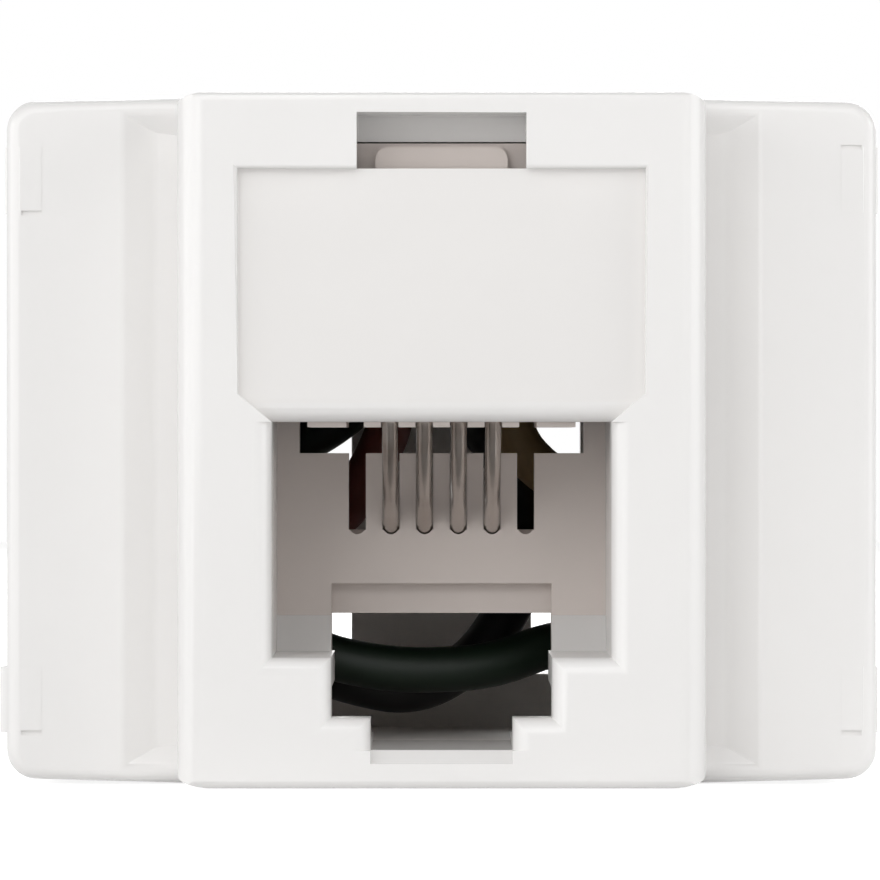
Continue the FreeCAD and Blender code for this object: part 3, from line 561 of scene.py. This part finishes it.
def crimp(barrel, axis, place):
    """Press one groove round a barrel."""
    alone(barrel)
    bpy.ops.object.mode_set(mode="EDIT")
    for offset in (-CRIMP_HALF - CRIMP_SLOPE, -CRIMP_HALF, CRIMP_HALF, CRIMP_HALF + CRIMP_SLOPE):
        bpy.ops.mesh.select_all(action="SELECT")
        bpy.ops.mesh.bisect(plane_co=(0, place + offset, 0), plane_no=(0, 1, 0))

    def in_groove(at):
        return abs(at.y - place) < CRIMP_HALF + TOUCH and from_axis(at, axis) > BARREL_SKIN

    choose_vertices(barrel, in_groove)
    bpy.ops.transform.resize(value=(CRIMP_SQUEEZE, 1, CRIMP_SQUEEZE), center_override=axis)
    bpy.ops.object.mode_set(mode="OBJECT")


splice_metal = metal("splice_metal", SPLICE_COLOUR, SPLICE_TARNISH, SPLICE_ROUGHNESS, SPLICE_LINES)
for number in NUMBERS:
    node = "splice_" + str(number)
    barrel = welded_copy(node, node + "_crimped")
    axis = middle_of(barrel)

    def outer_rim(middle, edge):
        return from_axis(middle, axis) > BARREL_SKIN

    broken_edges(barrel, SPLICE_BREAK, outer_rim, room=0)
    for place in CRIMP_PLACES:
        crimp(barrel, axis, axis.y + place)
    smooth_rounds(barrel)
    dress(barrel, node, splice_metal)


# Leads.
# Four short copper leads in soft coloured PVC. Each runs from its splice over to the tail of its
# terminal plate, cut square at both ends, and its bare core is held in the splice.
LEADS = {
    "lead_red": (0.30, 0.085, 0.065, 1),
    "lead_green": (0.004, 0.014, 0.006, 1),
    "lead_black": (0.006, 0.006, 0.006, 1),
    "lead_yellow": (0.52, 0.36, 0.17, 1),
}
LEAD_ROUGHNESS = 0.55
LEAD_CLOUD = 700
LEAD_SHADE = 0.8
EXACT = 1e-9


def joined_slivers(piece):
    """Join the fine triangles of a bent tube where they meet exactly, and drop any folded one."""
    alone(piece)
    bpy.ops.object.mode_set(mode="EDIT")
    bpy.ops.mesh.customdata_custom_splitnormals_clear()
    bpy.ops.mesh.select_mode(type="FACE")
    bpy.ops.mesh.select_all(action="DESELECT")
    mesh = bmesh.from_edit_mesh(piece.data)
    bmesh.ops.remove_doubles(mesh, verts=mesh.verts, dist=EXACT)
    for face in mesh.faces:
        if all(len(edge.link_faces) != 2 for edge in face.edges):
            face.select_set(True)
    bmesh.update_edit_mesh(piece.data)
    bpy.ops.mesh.delete(type="FACE")
    bpy.ops.object.mode_set(mode="OBJECT")


for node, colour in LEADS.items():
    lead = loose_copy(node, node + "_insulated")
    joined_slivers(lead)
    smooth_rounds(lead)
    lead_pvc = plastic(node + "_pvc", colour, LEAD_SHADE, LEAD_ROUGHNESS, LEAD_CLOUD)
    dress(lead, node, lead_pvc)


# Rear body.
# The white moulding that closes the unit and snaps into the cover, of a duller plastic. It has a
# terminal well in each corner, open to the side for the installer's wire, and two slots.
BODY_COLOUR = (0.83, 0.80, 0.77, 1)
BODY_ROUGHNESS = 0.5
BODY_BREAK = 0.00008
BODY_CLOUD = 160
BODY_SHADE = 0.97

body = welded_copy("rear_body", "body_moulding")
broken_edges(body, BODY_BREAK)
smooth_rounds(body)
body_plastic = plastic("body_plastic", BODY_COLOUR, BODY_SHADE, BODY_ROUGHNESS, BODY_CLOUD)
dress(body, "rear_body", body_plastic)


# Terminal plates.
# Stamped brass, one on the floor of each well. The collar is drawn out of the plate and tapped for
# the screw, and the tail goes through the floor to its lead.
BRASS_COLOUR = (0.72, 0.55, 0.28, 1)
BRASS_TARNISH = (0.50, 0.34, 0.16, 1)
BRASS_ROUGHNESS = 0.32
BRASS_LINES = (1500, 15000, 15000)
PLATE_BREAK = 0.00007

brass = metal("brass", BRASS_COLOUR, BRASS_TARNISH, BRASS_ROUGHNESS, BRASS_LINES)
for number in NUMBERS:
    node = "terminal_plate_" + str(number)
    plate = welded_copy(node, node + "_stamped")
    broken_edges(plate, PLATE_BREAK)
    smooth_rounds(plate)
    dress(plate, node, brass)


# Clamp washers.
# Square washers of zinc-plated steel that press the installer's wire on the brass. They are
# punched from sheet, with round corners and every edge a little broken.
ZINC_COLOUR = (0.40, 0.40, 0.39, 1)
ZINC_TARNISH = (0.27, 0.27, 0.26, 1)
ZINC_ROUGHNESS = 0.38
WASHER_LINES = (1500, 15000, 15000)
WASHER_CORNER = 0.0003
WASHER_BREAK = 0.00006


def upright_corner(middle, edge):
    """An edge that runs straight back."""
    run = edge.verts[0].co - edge.verts[1].co
    return abs(run.x) + abs(run.z) < TOUCH / 2


washer_steel = metal("washer_steel", ZINC_COLOUR, ZINC_TARNISH, ZINC_ROUGHNESS, WASHER_LINES)
for number in NUMBERS:
    node = "clamp_washer_" + str(number)
    washer = welded_copy(node, node + "_punched")
    broken_edges(washer, WASHER_CORNER, upright_corner, FINE_SEGMENTS, room=0)
    broken_edges(washer, WASHER_BREAK, room=0)
    smooth_rounds(washer)
    dress(washer, node, washer_steel)


# Terminal screws.
# Slotted pan head screws of zinc-plated steel with a rolled thread, one through each washer into
# the collar of its plate. The four are the same screw.
SCREW_LINES = (9000, 1500, 9000)
SCREW_BREAK = 0.00004
SCREW_SEAT = 0.0161
SCREW_TIP = 0.0130
SHANK_RADIUS = 0.00125
SHANK_CORE = 0.00096
THREAD_PITCH = 0.00045
THREAD_TURNS = 6
THREAD_STEPS = 32
THREAD_CORNERS = 3
THREAD_FOOT = 0.0009
THREAD_START = 0.00022
TERMINALS = {1: (-0.0077, 0.0063), 2: (0.0077, 0.0063), 3: (-0.0077, -0.0063), 4: (0.0077, -0.0063)}
first_axis = Vector((TERMINALS[1][0], 0, TERMINALS[1][1]))


def rolled_thread():
    """A closed ridge that winds round the shank, ready to be joined to it."""
    height = SHANK_RADIUS - THREAD_FOOT
    middle = THREAD_FOOT + height / 3
    bpy.ops.object.select_all(action="DESELECT")
    bpy.ops.mesh.primitive_circle_add(vertices=THREAD_CORNERS, radius=height * 2 / 3, location=(middle, 0, 0),
                                      rotation=(math.radians(90), math.radians(90), 0))
    bpy.ops.object.transform_apply(location=True, rotation=True, scale=True)
    thread = bpy.context.object
    bpy.ops.object.modifier_add(type="SCREW")
    winding = thread.modifiers[-1]
    winding.axis = "Z"
    winding.screw_offset = THREAD_PITCH
    winding.iterations = THREAD_TURNS
    winding.steps = THREAD_STEPS
    winding.render_steps = THREAD_STEPS
    bpy.ops.object.modifier_apply(modifier=winding.name)
    bpy.ops.object.mode_set(mode="EDIT")
    bpy.ops.mesh.select_all(action="SELECT")
    bpy.ops.mesh.fill_holes(sides=THREAD_CORNERS)
    bpy.ops.mesh.select_all(action="SELECT")
    bpy.ops.mesh.normals_make_consistent(inside=False)
    bpy.ops.object.mode_set(mode="OBJECT")
    return thread


def in_shank(at):
    """The vertices of the first screw's plain shank, up to its head."""
    return at.y < SCREW_SEAT + TOUCH / 2 and from_axis(at, first_axis) < SHANK_RADIUS + TOUCH


screw_steel = metal("screw_steel", ZINC_COLOUR, ZINC_TARNISH, ZINC_ROUGHNESS, SCREW_LINES)
pattern = welded_copy("terminal_screw_1", "screw_pattern")
broken_edges(pattern, SCREW_BREAK)
alone(pattern)
bpy.ops.object.mode_set(mode="EDIT")
choose_vertices(pattern, in_shank)
squeeze = SHANK_CORE / SHANK_RADIUS
bpy.ops.transform.resize(value=(squeeze, 1, squeeze), center_override=first_axis)
bpy.ops.object.mode_set(mode="OBJECT")
thread = rolled_thread()
thread.rotation_euler = (math.radians(-90), 0, 0)
thread.location = (first_axis.x, SCREW_TIP + THREAD_START, first_axis.z)
alone(thread)
bpy.ops.object.transform_apply(location=True, rotation=True, scale=True)
pattern.select_set(True)
bpy.context.view_layer.objects.active = pattern
bpy.ops.object.join()
smooth_rounds(pattern)
for number, (x, z) in TERMINALS.items():
    screw = pattern
    if number > 1:
        screw = pattern.copy()
        screw.data = pattern.data.copy()
        bpy.context.scene.collection.objects.link(screw)
        alone(screw)
        screw.location = (x - first_axis.x, 0, z - first_axis.z)
        bpy.ops.object.transform_apply(location=True, rotation=True, scale=True)
    node = "terminal_screw_" + str(number)
    screw.name = node + "_threaded"
    screw.data.name = screw.name
    dress(screw, node, screw_steel)
